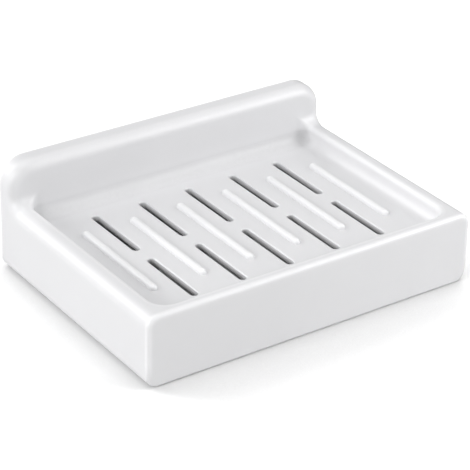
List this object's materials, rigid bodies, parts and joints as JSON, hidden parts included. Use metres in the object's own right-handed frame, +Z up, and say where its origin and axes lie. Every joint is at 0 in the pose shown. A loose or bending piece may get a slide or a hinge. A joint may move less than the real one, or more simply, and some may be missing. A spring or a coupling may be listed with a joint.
{
  "type": "soap dish",
  "caption": "Low rectangular soap dish with a raised back, a slotted and ribbed tray, and a dovetail wall bracket on adhesive pads that it slides down over.",
  "frame": {"origin": "centre of the bounding box in X and Y, on the surface that the dish stands on", "axes": "+X across the dish to the user's right when facing the wall, +Y towards the wall, +Z up"},
  "size_m": [0.13, 0.0944, 0.0416],
  "materials": {
    "gloss_white": "gloss white moulded plastic",
    "matte_white": "matte white moulded plastic",
    "foam": "grey closed-cell foam"
  },
  "bodies": {
    "bracket": {"wall_bracket": "matte_white", "adhesive_pad_left": "foam", "adhesive_pad_right": "foam"},
    "dish": {"dish_shell": "gloss_white"}
  },
  "joints": [
    {"name": "lift_off", "type": "slide", "parent": "bracket", "child": "dish", "axis": [0, 0, 1], "range_m": [0, 0.011]}
  ]
}
